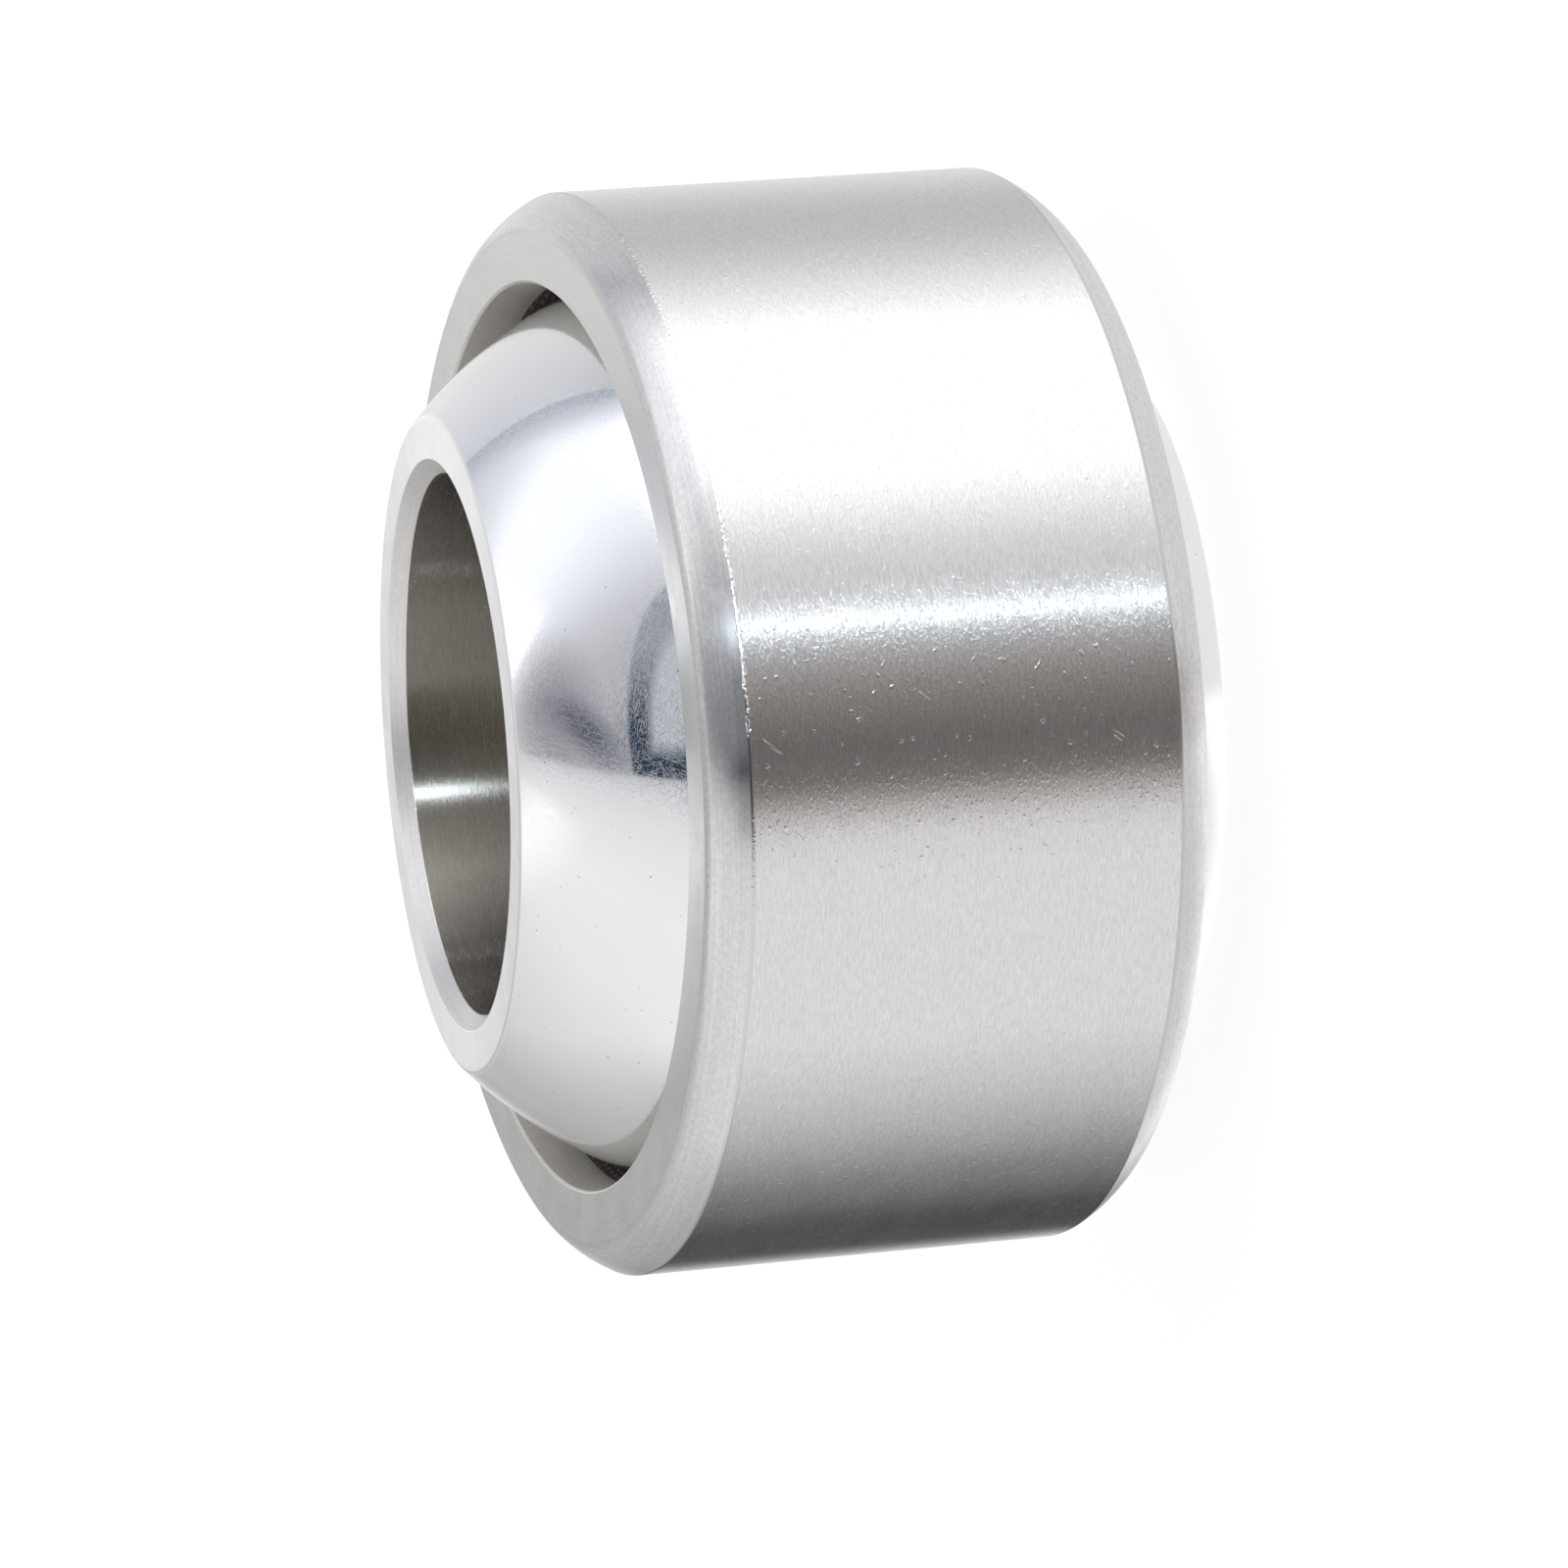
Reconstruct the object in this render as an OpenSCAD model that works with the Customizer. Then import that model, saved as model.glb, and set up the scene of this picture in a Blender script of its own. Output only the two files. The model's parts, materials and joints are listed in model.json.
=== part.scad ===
// Radial spherical plain bearing: a ball-shaped inner ring swivels in a lined outer ring.
// The axis of the inner ring is Z, and the centre of the ball is the origin.
// The bearing stands on the lower end face of the inner ring. All lengths are millimetres.

/* [Inner ring] */
// Diameter of the bore, which takes the shaft
bore_d = 16; // [8:0.5:24]
// Width from end face to end face
inner_w = 21; // [17:0.5:30]
// Width of each end face, from the wall of the bore to the ball
face_land = 1.69; // [0.8:0.01:3]
// Chamfer at each end of the bore, the same along and across the axis
bore_chamfer = 0.45; // [0.1:0.05:1]
// Width of the broken edge on each end face, where it meets the ball
face_break = 0.12; // [0.05:0.01:0.3]

/* [Liner] */
// Running gap between the ball and the liner
running_gap = 0.022; // [0.01:0.001:0.05]
// Thickness of the sliding liner bonded into the outer ring
liner_t = 0.4; // [0.2:0.05:0.8]

/* [Outer ring] */
// Thickness of the ring at its thinnest, round the middle of the ball
ring_wall = 1.29; // [0.6:0.01:4]
// Width from face to face
outer_w = 15; // [12:0.5:20]
// Depth of the recess in each face, down to the race, which frees the ball when the ring tilts
recess_depth = 1.44; // [0.4:0.02:2.6]
// Broken edge at the mouth of each recess
mouth_break = 0.12; // [0.05:0.01:0.3]
// Outside chamfer at each face, measured along the axis
chamfer_axial = 1.1; // [0.4:0.1:2]
// Outside chamfer at each face, measured across the axis
chamfer_radial = 0.86; // [0.4:0.02:1.2]
// Radius that blends each chamfer into its face
chamfer_blend = 0.6; // [0.2:0.1:0.8]

/* [Swivel] */
// Tilt of the outer ring about X, against the inner ring, as the bearing stands
stand_tilt = 4; // [-15:1:15]

/* [Hidden] */
// Steps in a full turn of every round shape
$fn = 180;
// Spare length of a cutting outline past the shape that it cuts
spare = 1;

bore_r = bore_d / 2;
inner_h = inner_w / 2;
// Radius of the end face's edge, which is also on the ball
face_r = bore_r + face_land;
// Radius of the ball, and its slope where it meets the end face
ball_r = norm([face_r, inner_h]);
face_slope = asin(face_r / ball_r);

// Radius of the liner's sliding surface, and of the race that the liner is bonded to
slide_r = ball_r + running_gap;
race_r = slide_r + liner_t;

outer_r = race_r + ring_wall;
outer_h = outer_w / 2;
// Height and radius at which the recess meets the race
race_h = outer_h - recess_depth;
recess_r = sqrt(race_r * race_r - race_h * race_h);

// Both halves of a closed outline, from the points of its upper half
function both_halves(upper) =
    concat(upper, [for (i = [len(upper) - 1 : -1 : 0]) [upper[i].x, -upper[i].y]]);

// Unit vector from one point to another
function direction(from, to) = (to - from) / norm(to - from);

// Tip that a rounding of the given radius takes off a corner, between its two neighbours
module corner_tip(corner, before, after, radius) {
    u = direction(corner, before);
    v = direction(corner, after);
    half_angle = acos(u * v) / 2;
    inward = direction([0, 0], u + v);
    run = radius / tan(half_angle);
    centre = corner + inward * radius / sin(half_angle);
    difference() {
        polygon([corner + run * u, centre, corner + run * v, corner - inward * radius]);
        translate(centre) circle(radius);
    }
}

// Half section of the outer ring: recessed faces, chamfered outside, spherical race
module outer_section() {
    lip = [recess_r + mouth_break, outer_h];
    chamfer_top = [outer_r - chamfer_radial, outer_h];
    chamfer_foot = [outer_r, outer_h - chamfer_axial];
    difference() {
        polygon(both_halves([[recess_r, outer_h - mouth_break], lip, chamfer_top, chamfer_foot]));
        circle(race_r);
        for (side = [0, 1])
            mirror([0, side, 0]) corner_tip(chamfer_top, lip, chamfer_foot, chamfer_blend);
    }
}

// Half section of the liner: a spherical layer that the recesses trim at both ends
module liner_section() {
    difference() {
        circle(race_r);
        circle(slide_r);
        translate([-race_r - spare, -race_r - spare])
            square([race_r + spare + recess_r, 2 * (race_r + spare)]);
    }
}

// Half section of the inner ring: a ball with flat end faces and a chamfered bore
module inner_section() {
    break_r = face_r - face_break;
    reach = ball_r + spare;
    break_drop = (reach - break_r) * tan(face_slope / 2);
    intersection() {
        circle(ball_r);
        polygon(both_halves([
            [bore_r, inner_h - bore_chamfer],
            [bore_r + bore_chamfer, inner_h],
            [break_r, inner_h],
            [reach, inner_h - break_drop]
        ]));
    }
}

// Outer ring, one piece formed round the ball
module outer_ring() {
    color([0.76, 0.75, 0.74])
        rotate([stand_tilt, 0, 0]) rotate_extrude() outer_section();
}

// Sliding liner, which moves with the outer ring
module liner() {
    color([0.23, 0.21, 0.18])
        rotate([stand_tilt, 0, 0]) rotate_extrude() liner_section();
}

// Inner ring, hardened and polished
module inner_ring() {
    color([0.86, 0.88, 0.9])
        rotate_extrude() inner_section();
}

outer_ring();
liner();
inner_ring();
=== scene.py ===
# %% [markdown]
# A spherical plain bearing is two rings that swivel on each other like a hip joint: a polished
# steel ball with a bore for the shaft, and an outer ring that is formed round it over a thin
# sliding liner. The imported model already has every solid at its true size, so it comes in first
# and stays untouched. All that follows is looks: turned meshes with real edges, and finishes.

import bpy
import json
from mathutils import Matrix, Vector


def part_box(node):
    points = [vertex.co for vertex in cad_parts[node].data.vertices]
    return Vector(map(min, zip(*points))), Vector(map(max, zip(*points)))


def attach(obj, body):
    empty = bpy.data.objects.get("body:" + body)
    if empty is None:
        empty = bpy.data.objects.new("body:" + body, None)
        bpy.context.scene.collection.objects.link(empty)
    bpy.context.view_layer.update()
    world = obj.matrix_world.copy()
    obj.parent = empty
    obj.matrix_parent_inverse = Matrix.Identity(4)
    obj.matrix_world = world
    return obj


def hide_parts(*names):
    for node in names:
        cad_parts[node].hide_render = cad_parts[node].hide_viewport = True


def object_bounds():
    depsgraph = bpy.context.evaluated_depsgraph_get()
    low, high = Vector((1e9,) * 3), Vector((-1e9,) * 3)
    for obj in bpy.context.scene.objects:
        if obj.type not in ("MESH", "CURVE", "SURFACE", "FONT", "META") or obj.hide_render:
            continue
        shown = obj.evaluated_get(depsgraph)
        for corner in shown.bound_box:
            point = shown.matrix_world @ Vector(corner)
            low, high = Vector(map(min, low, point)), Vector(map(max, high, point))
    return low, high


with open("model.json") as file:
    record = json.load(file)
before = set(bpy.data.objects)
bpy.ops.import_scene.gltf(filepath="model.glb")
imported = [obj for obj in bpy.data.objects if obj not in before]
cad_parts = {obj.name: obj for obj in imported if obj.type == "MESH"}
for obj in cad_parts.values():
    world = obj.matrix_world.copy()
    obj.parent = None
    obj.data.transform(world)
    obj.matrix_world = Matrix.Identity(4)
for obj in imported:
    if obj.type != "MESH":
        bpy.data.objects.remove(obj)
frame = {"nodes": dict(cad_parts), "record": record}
solid_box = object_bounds()

# %% [markdown]
# A lathe needs only a few sizes. The ball, the end faces and the outside come from the boxes of
# the solids, and the bore and the lean of the outer ring come from the record's mounts, so the
# meshes follow the model if it changes. The small edge sizes are written once, in metres.

# %% Sizes of the two rings
import math

import bpy
from mathutils import Matrix, Vector

MM = 0.001
mounts = {mount["name"]: mount for mount in frame["record"]["mounts"]}
bore_r = mounts["bore"]["dims"]["r_mm"] * MM
outer_r = mounts["housing_seat"]["dims"]["r_mm"] * MM
seat_axis = Vector(mounts["housing_seat"]["axis"])
ring_lean = math.atan2(-seat_axis.y, seat_axis.z)
ball_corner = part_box("inner_ring")[1]
ball_r = ball_corner.x
inner_h = ball_corner.z
face_r = math.sqrt(ball_r ** 2 - inner_h ** 2)
race_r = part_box("liner")[1].x
outer_h = 7.5 * MM
race_h = 6.06 * MM
recess_r = math.sqrt(race_r ** 2 - race_h ** 2)
print(f"ball {ball_r / MM:.3f}, race {race_r / MM:.3f}, outside {outer_r / MM:.3f} mm,",
      f"ring leans {math.degrees(ring_lean):.1f} degrees")

# %% [markdown]
# The camera stands where the photographer's did: a little above the end face, far away on a long
# lens, and rolled on its side, so that the axis of the bearing lies across the picture. A target
# and a hint for "up" would do for a Track To constraint. A matrix built from the same two vectors
# says the roll outright and keeps no constraint in the file.

# %% Camera
view_target = Vector((-1.91, 0.06, 0.41)) * MM
view_azimuth = math.radians(1.36)
view_elevation = math.radians(13.52)
view_distance = 278.98 * MM
picture_up = Vector((1.0, 0.0, -0.075))
lens_mm = 215.7

toward_camera = Vector((math.sin(view_azimuth) * math.cos(view_elevation),
                        -math.cos(view_azimuth) * math.cos(view_elevation),
                        math.sin(view_elevation)))
across = picture_up.cross(toward_camera).normalized()
upward = toward_camera.cross(across)
camera = bpy.data.objects.new("camera", bpy.data.cameras.new("camera"))
camera.data.sensor_width = 36.0
camera.data.lens = lens_mm
camera.data.clip_start = 10 * MM
camera.matrix_world = (Matrix.Translation(view_target + toward_camera * view_distance)
                       @ Matrix((across, upward, toward_camera)).transposed().to_4x4())
bpy.context.scene.collection.objects.link(camera)
bpy.context.scene.camera = camera
bpy.context.scene.view_settings.view_transform = "Standard"
print("camera at", [round(c / MM, 1) for c in camera.location], "mm")

# %% [markdown]
# Both rings are turned parts, so each is one outline spun about its axis. The Screw modifier
# would spin it too, but it guesses the shading from the faces, and on polished metal every guess
# shows as a ripple. Here each outline point also carries its exact surface direction. Every edge
# gets a true radius, because no real edge is sharp and it is the radius that catches the light.

# %% Outline helpers
def left_of(step):
    """Unit direction to the left of a step in the section, which is outward on these outlines."""
    return Vector((-step.y, step.x)).normalized()


def edge(before, at, after, radius, finish, steps=7):
    """Points that round the corner at a section point, each with its outward direction."""
    start = left_of(at - before)
    stop = left_of(after - at)
    turn = start.angle_signed(stop)
    to_centre = (start + stop).normalized() * radius / math.cos(turn / 2)
    convex = 1 if turn > 0 else -1
    centre = at - to_centre * convex
    made = []
    for i in range(steps + 1):
        angle = math.atan2(start.y, start.x) - turn * i / steps
        outward = Vector((math.cos(angle), math.sin(angle)))
        made.append((centre + outward * radius * convex, outward, finish))
    return made


def ball_stretch(radius, start, stop, finish, outward_sign, steps):
    """Points along a ball or a hollow race, between two angles from the ball's equator."""
    made = []
    for i in range(1, steps):
        angle = start + (stop - start) * i / steps
        ray = Vector((math.cos(angle), math.sin(angle)))
        made.append((ray * radius, ray * outward_sign, finish))
    return made


print("outline helpers ready")

# %% [markdown]
# Spinning is plain bookkeeping: every outline point becomes a ring of vertices, neighbouring
# rings are joined by quads, and the stored directions become the mesh's own normals. The finish
# of each stretch becomes a material slot, so one mesh can be ground outside and turned at its
# ends, as the real ring is.

# %% Lathe
ROUND_STEPS = 360


def turn_on_lathe(name, outline, finishes):
    """A closed ring mesh from an outline of (section point, outward direction, finish) entries."""
    spots, directions, faces, slots = [], [], [], []
    count = len(outline)
    for i in range(ROUND_STEPS):
        swing = Matrix.Rotation(2 * math.pi * i / ROUND_STEPS, 3, "Z")
        ahead = (i + 1) % ROUND_STEPS
        for j, (place, outward, finish) in enumerate(outline):
            spots.append(swing @ Vector((place.x, 0, place.y)))
            directions.append(swing @ Vector((outward.x, 0, outward.y)))
            higher = (j + 1) % count
            faces.append((i * count + j, i * count + higher,
                          ahead * count + higher, ahead * count + j))
            slots.append(list(finishes).index(finish))
    mesh = bpy.data.meshes.new(name)
    mesh.from_pydata(spots, [], faces)
    for finish in finishes.values():
        mesh.materials.append(finish)
    mesh.polygons.foreach_set("material_index", slots)
    mesh.polygons.foreach_set("use_smooth", [True] * len(faces))
    mesh.normals_split_custom_set_from_vertices(directions)
    made = bpy.data.objects.new(name, mesh)
    bpy.context.scene.collection.objects.link(made)
    print(f"{name}: {count} outline points, {2 * len(faces)} triangles")
    return made


print("lathe ready,", ROUND_STEPS, "steps to a turn")

# %% [markdown]
# Every finish is built from nodes. Two small helpers keep that readable: one adds a node and wires
# whatever is handed to its sockets, and one makes noise whose cells have a real size in
# millimetres. A Mapping node of the Texture kind divides by its scale, so the scale is simply the
# length, width and height of one grain. A Mix node has sockets of the same name for numbers, vectors
# and colours, so the ones for colours are picked by their place in the list.

# %% Node helpers
MIX_FIRST = 6
MIX_SECOND = 7
MIX_RESULT = 2


def node(tree, kind, sockets=None, **settings):
    """Adds a shader node; a socket takes either a value or the output that feeds it."""
    made = tree.nodes.new("ShaderNode" + kind)
    for name, value in settings.items():
        setattr(made, name, value)
    for name, value in (sockets or {}).items():
        if isinstance(value, bpy.types.NodeSocket):
            tree.links.new(value, made.inputs[name])
        else:
            made.inputs[name].default_value = value
    return made


def grain(tree, size_mm, lay=(0, 0, 0), detail=3.0, roughness=0.55):
    """Noise from 0 to 1 in the piece's own frame, its cells of this size and lying this way."""
    place = node(tree, "TexCoord").outputs["Object"]
    scaled = node(tree, "Mapping", {
        "Vector": place,
        "Rotation": [math.radians(a) for a in lay],
        "Scale": [s * MM for s in size_mm],
    }, vector_type="TEXTURE").outputs["Vector"]
    return node(tree, "TexNoise", {
        "Vector": scaled, "Scale": 1.0, "Detail": detail, "Roughness": roughness,
    }).outputs[0]


def spread(tree, value, low, high, to_low, to_high):
    """The stretch of a value between low and high, spread over another range and held there."""
    return node(tree, "MapRange", {
        "Value": value, "From Min": low, "From Max": high, "To Min": to_low, "To Max": to_high,
    }).outputs[0]


def blend_colours(tree, share, first, second):
    """A colour between two others, by a share from 0 to 1."""
    made = node(tree, "Mix", data_type="RGBA")
    tree.links.new(share, made.inputs["Factor"])
    made.inputs[MIX_FIRST].default_value = (*first, 1)
    made.inputs[MIX_SECOND].default_value = (*second, 1)
    return made.outputs[MIX_RESULT]


def bare_metal(name):
    """A new metal material: the material, its node tree and its shader."""
    material = bpy.data.materials.new(name)
    material.use_nodes = True
    shader = material.node_tree.nodes["Principled BSDF"]
    shader.inputs["Metallic"].default_value = 1.0
    return material, material.node_tree, shader


def lathe_grain_lobe(tree, shader, strength):
    """Stretches the gloss along the axis, as marks that run round a turned part do."""
    tangent = node(tree, "Tangent", direction_type="RADIAL", axis="Z").outputs[0]
    quarter_of_a_turn = 0.25
    tree.links.new(tangent, shader.inputs["Tangent"])
    shader.inputs["Anisotropic"].default_value = strength
    shader.inputs["Anisotropic Rotation"].default_value = quarter_of_a_turn


def add_relief(tree, shader, height, depth_mm):
    """Lets a height from 0 to 1 tilt the surface, as marks of this depth would."""
    relief = node(tree, "Bump", {"Height": height, "Strength": 1.0, "Distance": depth_mm * MM})
    tree.links.new(relief.outputs[0], shader.inputs["Normal"])


print("node helpers ready")

# %% [markdown]
# The outside of the outer ring is ground: a wheel leaves short fine marks that all run round the
# ring. They blur reflections along the axis and keep them crisp round the ring, which is why the
# lamps show there as straight bands. An anisotropic shader gives that blur, and noise with thin
# cells gives the marks themselves. A few deeper nicks, taken from the peaks of a finer noise, make
# the edge of a bright band break up into sparks, as it does on real ground steel. Rare pits and
# slanting scuffs, from still higher peaks, are the wear of handling.

# %% Ground steel
def ground_steel():
    """Finish of the outer ring's outside."""
    material, tree, shader = bare_metal("ground_steel")
    marks = grain(tree, (0.30, 0.30, 0.055), detail=2.0)
    nicks = spread(tree, grain(tree, (0.16, 0.16, 0.06), detail=1.0), 0.53, 0.72, 0.0, 1.0)
    pits = spread(tree, grain(tree, (0.22, 0.22, 0.16), detail=0.0), 0.76, 0.82, 0.0, 2.0)
    scuffs = grain(tree, (0.07, 0.07, 0.9), (0, 38, 0), detail=0.0)
    scuffs = spread(tree, scuffs, 0.83, 0.87, 0.0, 1.5)
    clouds = grain(tree, (1.6, 1.6, 0.9), detail=1.0)
    tone = blend_colours(tree, spread(tree, marks, 0.3, 0.7, 0.0, 1.0),
                         (0.705, 0.693, 0.681), (0.820, 0.810, 0.800))
    tree.links.new(tone, shader.inputs["Base Color"])
    tree.links.new(spread(tree, clouds, 0.3, 0.7, 0.18, 0.21), shader.inputs["Roughness"])
    lathe_grain_lobe(tree, shader, 0.93)
    faint = node(tree, "Math", {0: marks, 1: 0.5}, operation="MULTIPLY").outputs[0]
    shallow = node(tree, "Math", {0: faint, 1: nicks}, operation="ADD").outputs[0]
    deep = node(tree, "Math", {0: pits, 1: scuffs}, operation="ADD").outputs[0]
    relief = node(tree, "Math", {0: shallow, 1: deep}, operation="ADD").outputs[0]
    add_relief(tree, shader, relief, 0.0019)
    return material


ground_finish = ground_steel()
print("made", ground_finish.name)

# %% [markdown]
# The end faces and their chamfers are left as the turning tool cut them. A tool leaves fine
# rings, so the noise is read by radius and height, and only slowly round the part. A fine speckle
# is added to them, or else they look drawn. Face, chamfer and recess differ only in tone and gloss.

# %% Turned steel
def tool_rings(tree, pitch_mm):
    """Noise that changes across the cut and hardly along it, like the marks of a turning tool."""
    slow = (0.02, 0.02, 0.0)
    place = node(tree, "TexCoord").outputs["Object"]
    parts = node(tree, "SeparateXYZ", {"Vector": place}).outputs
    flat = node(tree, "CombineXYZ", {"X": parts["X"], "Y": parts["Y"]}).outputs[0]
    reach = node(tree, "VectorMath", {0: flat}, operation="LENGTH").outputs["Value"]
    cut = node(tree, "CombineXYZ", {"X": reach, "Y": parts["Z"]}).outputs[0]
    drift = node(tree, "VectorMath", {0: flat, 1: slow}, operation="MULTIPLY").outputs[0]
    path = node(tree, "VectorMath", {0: cut, 1: drift}, operation="ADD").outputs[0]
    return node(tree, "TexNoise", {
        "Vector": path, "Scale": 1 / (pitch_mm * MM), "Detail": 3.0, "Roughness": 0.6,
    }).outputs[0]


def turned_steel(name, dark, light, gloss, stretch, depth_mm):
    """Finish that a tool has cut: two tones, roughness, stretch of the gloss and depth of marks."""
    material, tree, shader = bare_metal(name)
    rings = tool_rings(tree, 0.07)
    speckle = grain(tree, (0.15, 0.15, 0.10), detail=2.0)
    cut = node(tree, "Math", {0: rings, 1: speckle}, operation="ADD").outputs[0]
    tone = blend_colours(tree, spread(tree, cut, 0.7, 1.3, 0.0, 1.0), dark, light)
    tree.links.new(tone, shader.inputs["Base Color"])
    clouds = grain(tree, (0.9, 0.9, 0.9), detail=1.0)
    tree.links.new(spread(tree, clouds, 0.3, 0.7, gloss - 0.03, gloss + 0.03),
                   shader.inputs["Roughness"])
    lathe_grain_lobe(tree, shader, stretch)
    add_relief(tree, shader, cut, depth_mm)
    return material


face_finish = turned_steel("turned_face", (0.72, 0.715, 0.70), (0.80, 0.795, 0.78),
                           gloss=0.21, stretch=0.6, depth_mm=0.0003)
chamfer_finish = turned_steel("turned_chamfer", (0.64, 0.625, 0.61), (0.78, 0.77, 0.76),
                              gloss=0.24, stretch=0.93, depth_mm=0.0005)
recess_finish = turned_steel("bored_recess", (0.67, 0.64, 0.59), (0.79, 0.765, 0.72),
                             gloss=0.48, stretch=0.5, depth_mm=0.0005)
print("made", face_finish.name, chamfer_finish.name, recess_finish.name)

# %% [markdown]
# Where the chamfer meets the ground outside, the wheel has turned over a hair-thin burr. It is
# uneven: along some stretches specks of it flash, and along others the edge is clean. It gets a
# narrow edge of its own in the outline. Its finish is the ground steel's tone, with small raised
# specks wherever a slow noise says that the burr is left. The specks are painted much lighter as
# well, a painted glint on top of their real tilt. Only one end has it, on the half that the wheel
# ran off last.

# %% Burred edge with painted glints
def burred_edge():
    """Finish of the hair-thin edge between chamfer and outside, with painted glints."""
    material, tree, shader = bare_metal("burred_edge")
    specks = spread(tree, grain(tree, (0.13, 0.13, 0.09), detail=1.0), 0.50, 0.66, 0.0, 1.0)
    left_over = spread(tree, grain(tree, (3.2, 3.2, 3.2)), 0.41, 0.55, 0.0, 1.0)
    place = node(tree, "TexCoord").outputs["Object"]
    parts = node(tree, "SeparateXYZ", {"Vector": place}).outputs
    one_side = spread(tree, parts["X"], -6 * MM, -1 * MM, 0.0, 1.0)
    one_end = spread(tree, parts["Z"], 0.0, 1 * MM, 0.0, 1.0)
    ran_off = node(tree, "Math", {0: one_side, 1: one_end}, operation="MULTIPLY").outputs[0]
    where = node(tree, "Math", {0: left_over, 1: ran_off}, operation="MULTIPLY").outputs[0]
    raised_and_glinting = node(tree, "Math", {0: specks, 1: where}, operation="MULTIPLY").outputs[0]
    # The raised specks are also painted lighter: a painted glint on top of their real tilt.
    tone = blend_colours(tree, raised_and_glinting, (0.66, 0.645, 0.63), (0.88, 0.88, 0.885))
    tree.links.new(tone, shader.inputs["Base Color"])
    shader.inputs["Roughness"].default_value = 0.20
    add_relief(tree, shader, raised_and_glinting, 0.014)
    return material


edge_finish = burred_edge()
print("made", edge_finish.name)

# %% [markdown]
# The outer ring is one piece of steel: two flat faces, a wide outside chamfer that blends softly
# into each face, a shallow recess that frees the ball, and the hollow race inside. The chamfer is
# very slightly crowned, so its tone changes from top to foot. The section is mirrored about the
# middle, so only the upper half is written, from the recess out to the ground outside. Then the
# whole outline is spun and leaned as the bearing stands.

# %% Outer ring
mouth_break = 0.06 * MM
chamfer_axial = 1.10 * MM
chamfer_radial = 0.86 * MM
chamfer_blend = 0.60 * MM
crown_rise = 0.10 * MM
crown_radius = 3.0 * MM
burr_radius = 0.25 * MM
small_edge = 0.05 * MM


def mirrored(points):
    """The same corners below the middle, walked the other way."""
    return [Vector((p.x, -p.y)) for p in reversed(points)]


recess_foot = Vector((recess_r, race_h))
recess_top = Vector((recess_r, outer_h - mouth_break))
mouth = Vector((recess_r + mouth_break, outer_h))
chamfer_top = Vector((outer_r - chamfer_radial, outer_h))
chamfer_foot = Vector((outer_r, outer_h - chamfer_axial))
chamfer_middle = (chamfer_top + chamfer_foot) / 2
chamfer_crown = chamfer_middle + left_of(chamfer_foot - chamfer_top) * crown_rise
upper_half = [recess_foot, recess_top, mouth, chamfer_top, chamfer_crown, chamfer_foot]
ring_corners = upper_half + mirrored(upper_half)
ring_radii = [small_edge, small_edge, small_edge, chamfer_blend, crown_radius, burr_radius]
ring_radii = ring_radii + ring_radii[::-1]
after_corner = ["recess", "recess", "face", "chamfer", "chamfer", "ground",
                "chamfer", "chamfer", "face", "recess", "recess", "race"]
on_corner = ["recess", "recess", "face", "chamfer", "chamfer", "burr",
             "burr", "chamfer", "chamfer", "face", "recess", "recess"]
race_angle = math.atan2(race_h, recess_r)
race_tangent = Vector((math.sin(race_angle), math.cos(race_angle))) * MM


def ring_outline():
    """Outline of the outer ring, walked up the recess, out along the face and down the outside."""
    made = []
    last = len(ring_corners) - 1
    for i, at in enumerate(ring_corners):
        before = ring_corners[i - 1] if i > 0 else at - Vector((-race_tangent.x, race_tangent.y))
        after = ring_corners[i + 1] if i < last else at + race_tangent
        rounded = edge(before, at, after, ring_radii[i], on_corner[i])
        rounded[-1] = (*rounded[-1][:2], after_corner[i])
        made += rounded
    return made + ball_stretch(race_r, -race_angle, race_angle, "race", -1, 48)


outer_ring = turn_on_lathe("outer_ring_turned", ring_outline(), {
    "ground": ground_finish, "face": face_finish, "chamfer": chamfer_finish,
    "recess": recess_finish, "burr": edge_finish, "race": recess_finish,
})
outer_ring.rotation_euler.x = ring_lean
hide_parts("outer_ring")
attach(outer_ring, "outer")

# %% [markdown]
# The ball is hard chromed and polished. Polishing leaves hair lines in several directions, too
# fine to see until something dark is reflected beside something bright. So the finish is nearly a
# mirror, crossed by sets of long thin scratches: wherever a stretched noise passes its middle value
# it draws a thin line, and on that line the surface is rougher and tilted. A few pits in the plating
# are just darker dots. The flat ends are lapped and duller, and the lip of the bore duller still.

# %% Polished chrome
def hair_lines(tree, lay):
    """Long thin scratches that lie one way: 1 on a scratch, 0 between scratches."""
    level = grain(tree, (2.4, 0.17, 0.17), lay, detail=1.5, roughness=0.6)
    off_middle = node(tree, "Math", {0: level, 1: 0.5}, operation="SUBTRACT").outputs[0]
    distance = node(tree, "Math", {0: off_middle}, operation="ABSOLUTE").outputs[0]
    return spread(tree, distance, 0.0, 0.014, 1.0, 0.0)


def polished_chrome():
    """Finish of the ball."""
    material, tree, shader = bare_metal("polished_chrome")
    lays = [(20, 28, 10), (65, -35, 70), (-40, 15, 125)]
    first, second, third = [hair_lines(tree, lay) for lay in lays]
    pair = node(tree, "Math", {0: first, 1: second}, operation="MAXIMUM").outputs[0]
    scratches = node(tree, "Math", {0: pair, 1: third}, operation="MAXIMUM").outputs[0]
    clouds = grain(tree, (2.5, 2.5, 2.5), detail=1.0)
    pits = spread(tree, grain(tree, (0.13, 0.13, 0.13), detail=0.0), 0.125, 0.155, 0.60, 1.0)
    plating = blend_colours(tree, clouds, (0.840, 0.853, 0.862), (0.868, 0.880, 0.888))
    tone = node(tree, "VectorMath", {0: plating, 1: pits}, operation="MULTIPLY").outputs[0]
    tree.links.new(tone, shader.inputs["Base Color"])
    tree.links.new(spread(tree, scratches, 0.0, 1.0, 0.05, 0.16), shader.inputs["Roughness"])
    add_relief(tree, shader, scratches, 0.0004)
    return material


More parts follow.
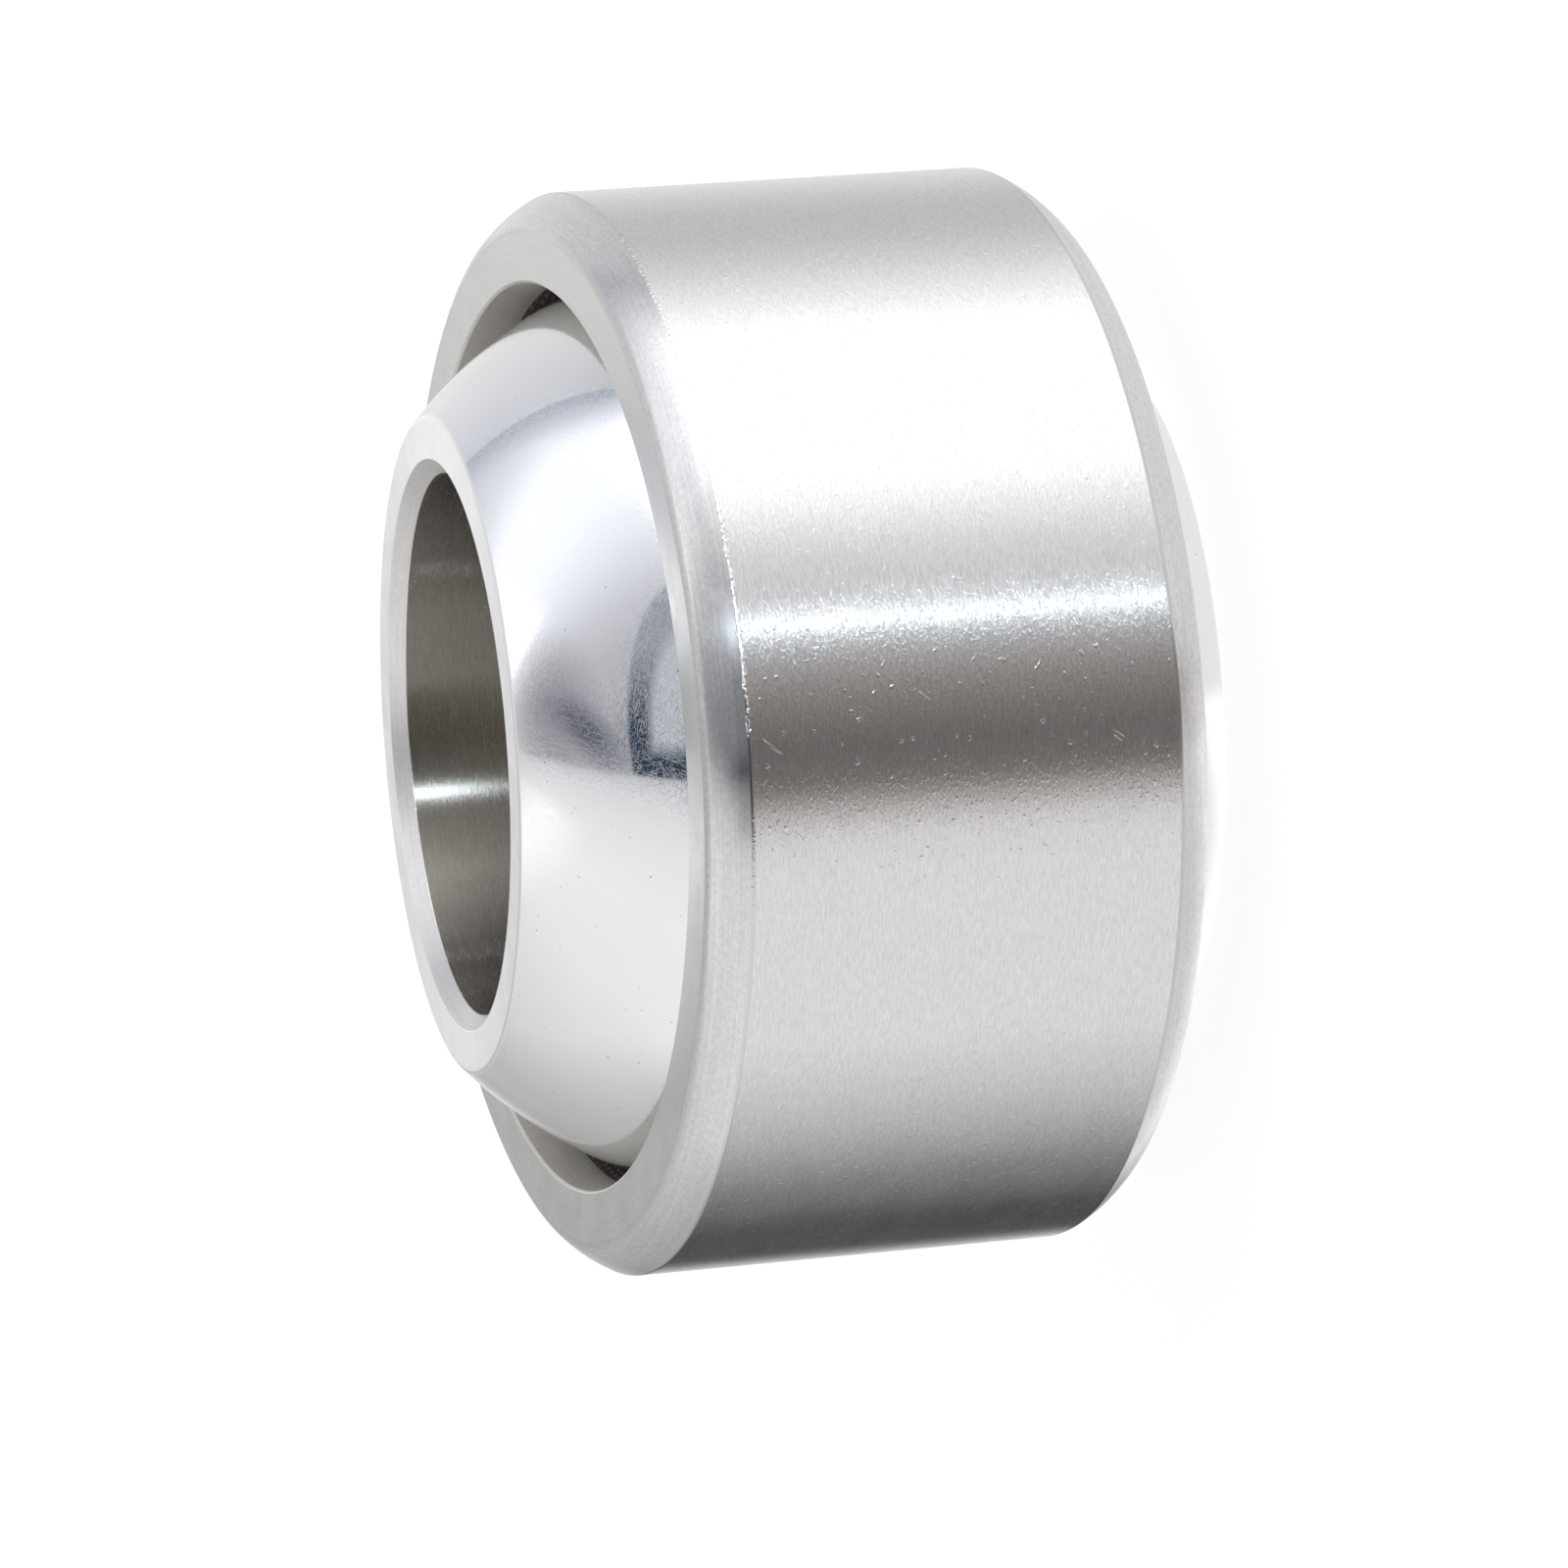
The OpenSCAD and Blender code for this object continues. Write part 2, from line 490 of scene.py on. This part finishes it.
ball_finish = polished_chrome()
end_finish = turned_steel("lapped_end", (0.92, 0.925, 0.92), (0.96, 0.96, 0.955),
                          gloss=0.24, stretch=0.6, depth_mm=0.0002)
lip_finish = turned_steel("bore_lip", (0.68, 0.67, 0.65), (0.78, 0.77, 0.75),
                          gloss=0.38, stretch=0.6, depth_mm=0.0004)
print("made", ball_finish.name, end_finish.name, lip_finish.name)

# %% [markdown]
# The bore is honed. Its colour is painted darker and warmer than the ball's, as painted shade for
# the deep hole, where each look into it bounces from wall to wall. Honing marks run nearly round
# the bore, so it shares the anisotropic gloss of the outside.

# %% Honed bore with painted shade
def honed_bore_painted_shade():
    """Finish of the wall that the shaft slides in, with painted shade in its colour."""
    material, tree, shader = bare_metal("honed_bore_painted_shade")
    marks = grain(tree, (0.7, 0.7, 0.06))
    # The dark, warm tone is painted shade of the deep bore.
    tone = blend_colours(tree, spread(tree, marks, 0.3, 0.7, 0.0, 1.0),
                         (0.425, 0.40, 0.36), (0.465, 0.44, 0.40))
    tree.links.new(tone, shader.inputs["Base Color"])
    tree.links.new(spread(tree, marks, 0.3, 0.7, 0.26, 0.28), shader.inputs["Roughness"])
    lathe_grain_lobe(tree, shader, 1.0)
    add_relief(tree, shader, marks, 0.00012)
    return material


bore_finish = honed_bore_painted_shade()
print("made", bore_finish.name)

# %% [markdown]
# The inner ring is the ball with its two ends cut flat and its bore drilled through. The section is
# walked up the bore, out along the end face and down the ball, and each corner is rounded like the
# broken edges of the real ring.

# %% Inner ring
bore_chamfer = 0.45 * MM
ball_edge = 0.25 * MM
bore_top = Vector((bore_r, inner_h - bore_chamfer))
bore_mouth = Vector((bore_r + bore_chamfer, inner_h))
ball_top = Vector((face_r, inner_h))
end_half = [bore_top, bore_mouth, ball_top]
inner_corners = end_half + mirrored(end_half)
inner_radii = [small_edge, small_edge, ball_edge, ball_edge, small_edge, small_edge]
inner_finishes = ["lip", "end", "ball", "end", "lip", "bore"]
on_inner = ["lip", "end", "end", "end", "end", "lip"]
ball_angle = math.atan2(inner_h, face_r)
ball_tangent = Vector((math.sin(ball_angle), -math.cos(ball_angle))) * MM


def inner_outline():
    """Outline of the inner ring, with the ball between its two end faces."""
    made = []
    for i, at in enumerate(inner_corners):
        before, after = inner_corners[i - 1], inner_corners[(i + 1) % len(inner_corners)]
        if at is inner_corners[2]:
            after = at + ball_tangent
        if at is inner_corners[3]:
            before = at - Vector((-ball_tangent.x, ball_tangent.y))
        rounded = edge(before, at, after, inner_radii[i], on_inner[i])
        rounded[-1] = (*rounded[-1][:2], inner_finishes[i])
        made += rounded
        if at is inner_corners[2]:
            cut = ball_angle - ball_edge / ball_r
            made += ball_stretch(ball_r, cut, -cut, "ball", 1, 120)
    return made


inner_ring = turn_on_lathe("inner_ring_turned", inner_outline(), {
    "ball": ball_finish, "end": end_finish, "lip": lip_finish, "bore": bore_finish,
})
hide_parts("inner_ring")
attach(inner_ring, "inner")

# %% [markdown]
# The liner is a dark woven sliding layer, bonded into the race. It shows only as a hair line round
# the ball until the ring is tilted, so its own solid stays and only takes a finish: two wave
# textures crossed like warp and weft. Its tone is set darker than the fabric's own, as painted
# shade of the gap round the ball. A Wave texture of scale 1 has waves of about 0.31 m, so that
# length divided by the thread's is the scale.

# %% Woven liner with painted shade
def woven_liner_painted_shade():
    """Finish of the sliding liner, darkened as painted shade of the gap round the ball."""
    material = bpy.data.materials.new("woven_liner_painted_shade")
    material.use_nodes = True
    tree = material.node_tree
    shader = tree.nodes["Principled BSDF"]
    thread = 0.25 * MM
    wave_at_scale_1 = 0.31
    place = node(tree, "TexCoord").outputs["Object"]
    warp, weft = [node(tree, "TexWave", {
        "Vector": place, "Scale": wave_at_scale_1 / thread, "Distortion": 0.6,
    }, bands_direction=way).outputs["Fac"] for way in ("DIAGONAL", "Z")]
    weave = node(tree, "Math", {0: warp, 1: weft}, operation="MULTIPLY").outputs[0]
    # This tone is darker than the fabric's own: painted shade of the gap round the ball.
    tone = blend_colours(tree, weave, (0.06, 0.053, 0.044), (0.19, 0.168, 0.14))
    tree.links.new(tone, shader.inputs["Base Color"])
    shader.inputs["Roughness"].default_value = 0.7
    add_relief(tree, shader, weave, 0.02)
    return material


frame["nodes"]["liner"].data.materials.clear()
frame["nodes"]["liner"].data.materials.append(woven_liner_painted_shade())
print("liner woven")

# %% [markdown]
# The bearing stands on a plain white floor. Bright light on the object would wash out the steel, so
# the floor helps itself: to the camera, and in mirrors and glass, it glows just enough to be white,
# and the rest of its tone is ordinary paint that keeps the shadow. Far from the bearing it is all
# glow, which saves render time where no shadow falls. The steel would mirror it as one blank sheet,
# so to mirrors the floor is thin like milk glass, and the tent below shows through it.

# %% Floor
floor_size = 3.0
floor_glow = 0.80
shadow_reach = 32 * MM
shadow_fade = 10 * MM
glow_strength = 1.10
floor_paint = (0.9, 0.9, 0.9, 1)
clear_to_mirrors = 0.95


def white_floor():
    """Pale floor that is white to look at and keeps the shadow."""
    material = bpy.data.materials.new("white_floor")
    material.use_nodes = True
    tree = material.node_tree
    tree.nodes.clear()
    rays = node(tree, "LightPath").outputs
    seen = rays["Is Camera Ray"]
    for kind in ("Is Glossy Ray", "Is Transmission Ray"):
        seen = node(tree, "Math", {0: seen, 1: rays[kind]}, operation="MAXIMUM").outputs[0]
    place = node(tree, "TexCoord").outputs["Object"]
    reach = node(tree, "VectorMath", {0: place}, operation="LENGTH").outputs["Value"]
    glowing = spread(tree, reach, shadow_reach, shadow_reach + shadow_fade, floor_glow, 1.0)
    share = node(tree, "Math", {0: seen, 1: glowing}, operation="MULTIPLY").outputs[0]
    paint = node(tree, "BsdfDiffuse", {"Color": floor_paint}).outputs[0]
    glow = node(tree, "Emission", {"Color": (1, 1, 1, 1), "Strength": glow_strength}).outputs[0]
    white = node(tree, "MixShader", {0: share, 1: paint, 2: glow}).outputs[0]
    clear = node(tree, "BsdfTransparent").outputs[0]
    thinned = node(tree, "Math", {0: rays["Is Glossy Ray"], 1: clear_to_mirrors},
                   operation="MULTIPLY").outputs[0]
    sheet = node(tree, "MixShader", {0: thinned, 1: white, 2: clear}).outputs[0]
    node(tree, "OutputMaterial", {"Surface": sheet})
    return material


half = floor_size / 2
floor_mesh = bpy.data.meshes.new("floor")
floor_corners = [(-half, -half, 0), (half, -half, 0), (half, half, 0), (-half, half, 0)]
floor_mesh.from_pydata(floor_corners, [], [(0, 1, 2, 3)])
floor_mesh.materials.append(white_floor())
floor = bpy.data.objects.new("floor", floor_mesh)
floor.location.z = solid_box[0].z
floor.visible_shadow = False
bpy.context.scene.collection.objects.link(floor)
print("floor at", round(floor.location.z / MM, 2), "mm")

# %% [markdown]
# Bare metal is only as good as what it reflects. Product photographers put it in a light tent: pale
# walls all round, one big bright panel, one thin tube lamp, and a dark gap where the camera looks
# in. Area lamps could stand in for each of them, but the ring also mirrors what lies below the
# floor, so here the tent is painted into the world by direction. First a direction becomes two
# angles: azimuth, 0 on the camera's side and 90 at the top of the picture, and elevation.

# %% Directions in the tent
world = bpy.data.worlds.new("light_tent")
world.use_nodes = True
bpy.context.scene.world = world
tent = world.node_tree
tent.nodes.clear()
aim = node(tent, "TexCoord").outputs["Generated"]
quarter_turn = (0, 0, math.radians(90))
facing = node(tent, "Mapping", {"Vector": aim, "Rotation": quarter_turn}).outputs[0]
turn = node(tent, "TexGradient", {"Vector": facing}, gradient_type="RADIAL").outputs["Fac"]
azimuth = node(tent, "Math", {0: turn, 1: 360.0, 2: -180.0}, operation="MULTIPLY_ADD").outputs[0]
height = node(tent, "SeparateXYZ", {"Vector": aim}).outputs["Z"]
slant = node(tent, "Math", {0: height}, operation="ARCSINE").outputs[0]
elevation = node(tent, "Math", {0: slant}, operation="DEGREES").outputs[0]
print("tent measured in azimuth and elevation")

# %% [markdown]
# Every patch of the tent is a share from 0 to 1 that says where its colour goes. Shares by elevation
# and by azimuth are simple ramps, and multiplied together they make soft-edged rectangles. A Mix
# node then lays the colour over what is there already, like paint through a stencil.

# %% Stencil helpers
def product(*shares):
    """Several shares multiplied together."""
    total = shares[0]
    for share in shares[1:]:
        total = node(tent, "Math", {0: total, 1: share}, operation="MULTIPLY").outputs[0]
    return total


def above(start, stop):
    """A share that goes from 0 to 1 between two elevations in degrees."""
    return spread(tent, elevation, start, stop, 0.0, 1.0)


def below(start, stop):
    """A share that goes from 1 to 0 between two elevations in degrees."""
    return spread(tent, elevation, start, stop, 1.0, 0.0)


def past(start, stop):
    """A share that goes from 0 to 1 between two azimuths in degrees."""
    return spread(tent, azimuth, start, stop, 0.0, 1.0)


def between(start, stop, soft):
    """A share that is 1 between two azimuths in degrees, with soft edges outside them."""
    falling = spread(tent, azimuth, stop, stop + soft, 1.0, 0.0)
    return product(past(start - soft, start), falling)


def mixed(share, first, second, blend_type="MIX"):
    """Two colours mixed by a share from 0 to 1; each is a colour or an output."""
    made = node(tent, "Mix", {"Factor": share}, data_type="RGBA", blend_type=blend_type)
    for place, colour in ((MIX_FIRST, first), (MIX_SECOND, second)):
        if isinstance(colour, bpy.types.NodeSocket):
            tent.links.new(colour, made.inputs[place])
        else:
            made.inputs[place].default_value = (*colour, 1)
    return made.outputs[MIX_RESULT]


print("stencil helpers ready")

# %% [markdown]
# The walls come in four rows, from under the floor to overhead. A wall is an azimuth and a
# brightness, where 1 is white. The dark stretch round 0 is the gap for the camera, the bright one
# from 45 to 95 is the panel, and the dim one near -150 is the side that no lamp reaches. A colour
# ramp joins the walls of a row, and each row fades into the next one up.

# %% Tent walls
tent_under = [
    (-180, 0.90), (-168, 1.45), (-152, 1.20), (-142, 0.94), (-124, 0.81), (-24, 0.77),
    (-14, 0.14), (10, 0.20), (34, 0.86), (180, 0.90),
]
tent_low = [
    (-180, 0.90), (-170, 0.80), (-156, 0.02), (-135, 0.02), (-115, 0.19), (-95, 0.54),
    (-72, 0.90), (-32, 0.92), (-24, 0.85), (-14, 0.14), (-5, 0.09), (4, 0.23),
    (12, 0.43), (20, 0.52), (36, 0.82), (52, 1.60), (90, 1.60), (97, 1.25),
    (112, 0.83), (124, 0.63), (138, 0.61), (155, 0.76), (180, 0.90),
]
tent_mid = [
    (-180, 0.57), (-175, 0.40), (-157, 0.61), (-130, 0.73), (-95, 0.95), (-32, 1.00),
    (-26, 0.79), (-21, 0.08), (11, 0.07), (18, 0.28), (30, 0.81), (46, 1.80),
    (56, 2.80), (76, 2.20), (88, 2.20), (98, 1.20), (108, 0.62), (130, 0.75),
    (177, 0.90), (180, 0.57),
]
tent_high = [
    (-180, 0.58), (-160, 0.58), (-130, 0.76), (-90, 0.93), (-60, 0.96), (-40, 0.90),
    (-21, 0.80), (-16, 0.67), (-14, 0.44), (0, 0.43), (12, 0.54), (30, 0.57),
    (45, 0.70), (63, 0.97), (80, 1.16), (104, 1.20), (116, 0.90), (132, 0.70),
    (172, 0.73), (180, 0.58),
]


def wall_ramp(walls):
    """A ramp round the tent from walls of (azimuth in degrees, brightness)."""
    made = node(tent, "ValToRGB", {"Fac": turn})
    stops = made.color_ramp.elements
    stops[0].position, stops[1].position = 0.0, 1.0
    for wall_azimuth, _ in walls[1:-1]:
        stops.new(wall_azimuth / 360 + 0.5)
    for stop, (_, brightness) in zip(stops, walls):
        stop.color = (brightness, brightness, brightness, 1)
    return made.outputs[0]


cloth = wall_ramp(tent_under)
for walls, start, stop in [(tent_low, -32, -22), (tent_mid, -10, 8), (tent_high, 20, 34)]:
    cloth = mixed(above(start, stop), cloth, wall_ramp(walls))
print("tent has", sum(map(len, (tent_under, tent_low, tent_mid, tent_high))), "walls")

# %% [markdown]
# Cloth is never quite neutral, and chrome shows it. High up on the panel's side it is a touch blue,
# and low down beside the camera a touch warm. Multiply shifts the hue and keeps the brightness.
# The panel has a second sheet overhead, the far wall a pale one, and one side stays in shade. Right
# overhead and right below all walls would run into one point, so an even patch covers that.

# %% Uneven cloth
def grey(brightness):
    """A neutral colour of this brightness."""
    return (brightness, brightness, brightness)


cool_side = product(between(-17, 150, 6), above(10, 24))
warm_corner = product(between(-16, 8, 6), below(-4, 4))
cloth = mixed(cool_side, cloth, (0.975, 0.985, 1.045), "MULTIPLY")
cloth = mixed(warm_corner, cloth, (1.09, 0.98, 0.94), "MULTIPLY")

full_turn = node(tent, "Math", {0: azimuth, 1: 360.0, 2: 0.0}, operation="WRAP").outputs[0]
far_wall = product(spread(tent, full_turn, 158, 172, 0.0, 1.0),
                   spread(tent, full_turn, 181, 190, 1.0, 0.0), above(1, 6), below(13, 17))
shaded_side = product(between(-150, -112, 18), above(-4, 4), below(2, 32))
left_roof = product(between(-112, -48, 10), above(60, 70))
panel_roof = product(between(68, 108, 7), above(60, 70))
cloth = mixed(far_wall, cloth, grey(0.95))
cloth = mixed(shaded_side, cloth, grey(0.46))
cloth = mixed(left_roof, cloth, grey(1.15))
cloth = mixed(panel_roof, cloth, grey(1.55))
cloth = mixed(above(74, 86), cloth, grey(0.70))
cloth = mixed(below(-86, -72), cloth, grey(0.82))
print("cloth tinted and shaded")

# %% [markdown]
# On the far side a fold hangs in the cloth. On the ball it is a thin slanting line with a soft
# shadow on one side, so its share climbs slowly to the fold and drops behind it within a degree or
# two. Taking a part of the elevation away from the azimuth is what makes the line slant.

# %% Fold in the cloth
fold_slant = 2.25
fold_middle = 22.0
lift = node(tent, "Math", {0: elevation, 1: fold_middle}, operation="SUBTRACT").outputs[0]
from_fold = node(tent, "Math", {0: lift, 1: -fold_slant, 2: azimuth},
                 operation="MULTIPLY_ADD").outputs[0]
fold = product(spread(tent, from_fold, 86, 111, 0.0, 0.75),
               spread(tent, from_fold, 111, 112.5, 1.0, 0.0), above(8, 16), below(32, 44))
cloth = mixed(fold, cloth, (0.34, 0.39, 0.48))
print("fold hung")

# %% [markdown]
# The gap for the camera is not a plain slot. Low down it is nearly black. Above it hangs a grey
# smudge in a paler haze, both cut off on one side where the tent's cloth begins. They are ovals
# drawn in azimuth and elevation: the distance from an oval's middle is 0 there and 1 on its rim,
# and a slope tips the oval over.

# %% Camera gap
def oval(middle, wide, tall, slope=0.0):
    """Distance from the middle of an oval, 1 on its rim; sizes in degrees, slope in rise by run."""
    shrink = (1 / wide, 1 / tall, 0)
    along = node(tent, "Math", {0: azimuth, 1: middle[0]}, operation="SUBTRACT").outputs[0]
    over = node(tent, "Math", {0: elevation, 1: middle[1]}, operation="SUBTRACT").outputs[0]
    level = node(tent, "Math", {0: along, 1: -slope, 2: over}, operation="MULTIPLY_ADD").outputs[0]
    spot = node(tent, "CombineXYZ", {"X": along, "Y": level}).outputs[0]
    sized = node(tent, "VectorMath", {0: spot, 1: shrink}, operation="MULTIPLY").outputs[0]
    return node(tent, "VectorMath", {0: sized}, operation="LENGTH").outputs["Value"]


low_gap = product(between(-21, 11, 4), above(4, 10), below(36, 39))
haze = oval((17, 71), wide=50, tall=14)
haze_share = product(spread(tent, haze, 0.3, 1.0, 0.95, 0.0), past(-17, -13))
smudge = oval((4, 63.5), wide=26, tall=7.5, slope=1 / 3)
smudge_share = product(spread(tent, smudge, 0.25, 1.0, 0.95, 0.0), past(-16, -14))
cloth = mixed(low_gap, cloth, (0.04, 0.035, 0.033))
cloth = mixed(haze_share, cloth, (0.33, 0.33, 0.36))
cloth = mixed(smudge_share, cloth, (0.12, 0.125, 0.16))
print("camera gap painted")

# %% [markdown]
# In the gap stands the camera's hood. The ball shows it as a dark bow, round at the top and straight
# down one side, with a paler middle. So the dark is the larger of two shares, the rim of an oval and
# everything beyond one azimuth, and it fades towards the far end of the bow.

# %% Camera hood
hood = oval((0, 34.5), wide=44, tall=18.8)
in_hood = product(spread(tent, hood, 0.955, 0.995, 1.0, 0.0), past(-15, -14.2))
rim = spread(tent, hood, 0.62, 0.74, 0.0, 1.0)
straight_side = spread(tent, azimuth, -8.5, -3.5, 1.0, 0.0)
bow = node(tent, "Math", {0: rim, 1: straight_side}, operation="MAXIMUM").outputs[0]
fading = spread(tent, azimuth, 5, 28, 1.0, 0.45)
cloth = mixed(product(in_hood, above(35, 39)), cloth, (0.58, 0.60, 0.64))
cloth = mixed(product(bow, in_hood, fading, above(30, 36)), cloth, (0.035, 0.052, 0.085))
print("hood painted")

# %% [markdown]
# The thin tube lamp is far brighter than the cloth, so it is added to it and not mixed in. It draws
# the sharp sparkling line along the outside of the ring. Its hotter upper end is what the bore
# catches, and it stops short of the part of the tent that the ball sees.

# %% Tube lamp
lamp_colour = (0.80, 0.92, 1.06)
tube_strength = 5.2
hot_strength = 62.0
tube = product(between(20.7, 21.2, 0.3), spread(tent, elevation, 0, 4, tube_strength, 0.0))
hot_end = product(between(19.3, 21.7, 1.0), above(3, 6),
                  spread(tent, elevation, 12, 16, hot_strength, 0.0))
lamp = node(tent, "Math", {0: tube, 1: hot_end}, operation="ADD").outputs[0]
lamp_light = mixed(1.0, lamp_colour, lamp, "MULTIPLY")
tent_light = mixed(1.0, cloth, lamp_light, "ADD")
shining = node(tent, "Background", {"Color": tent_light, "Strength": 1.0}).outputs[0]
node(tent, "OutputWorld", {"Surface": shining})
print("tube lamp wired")

# %% Finish
import json
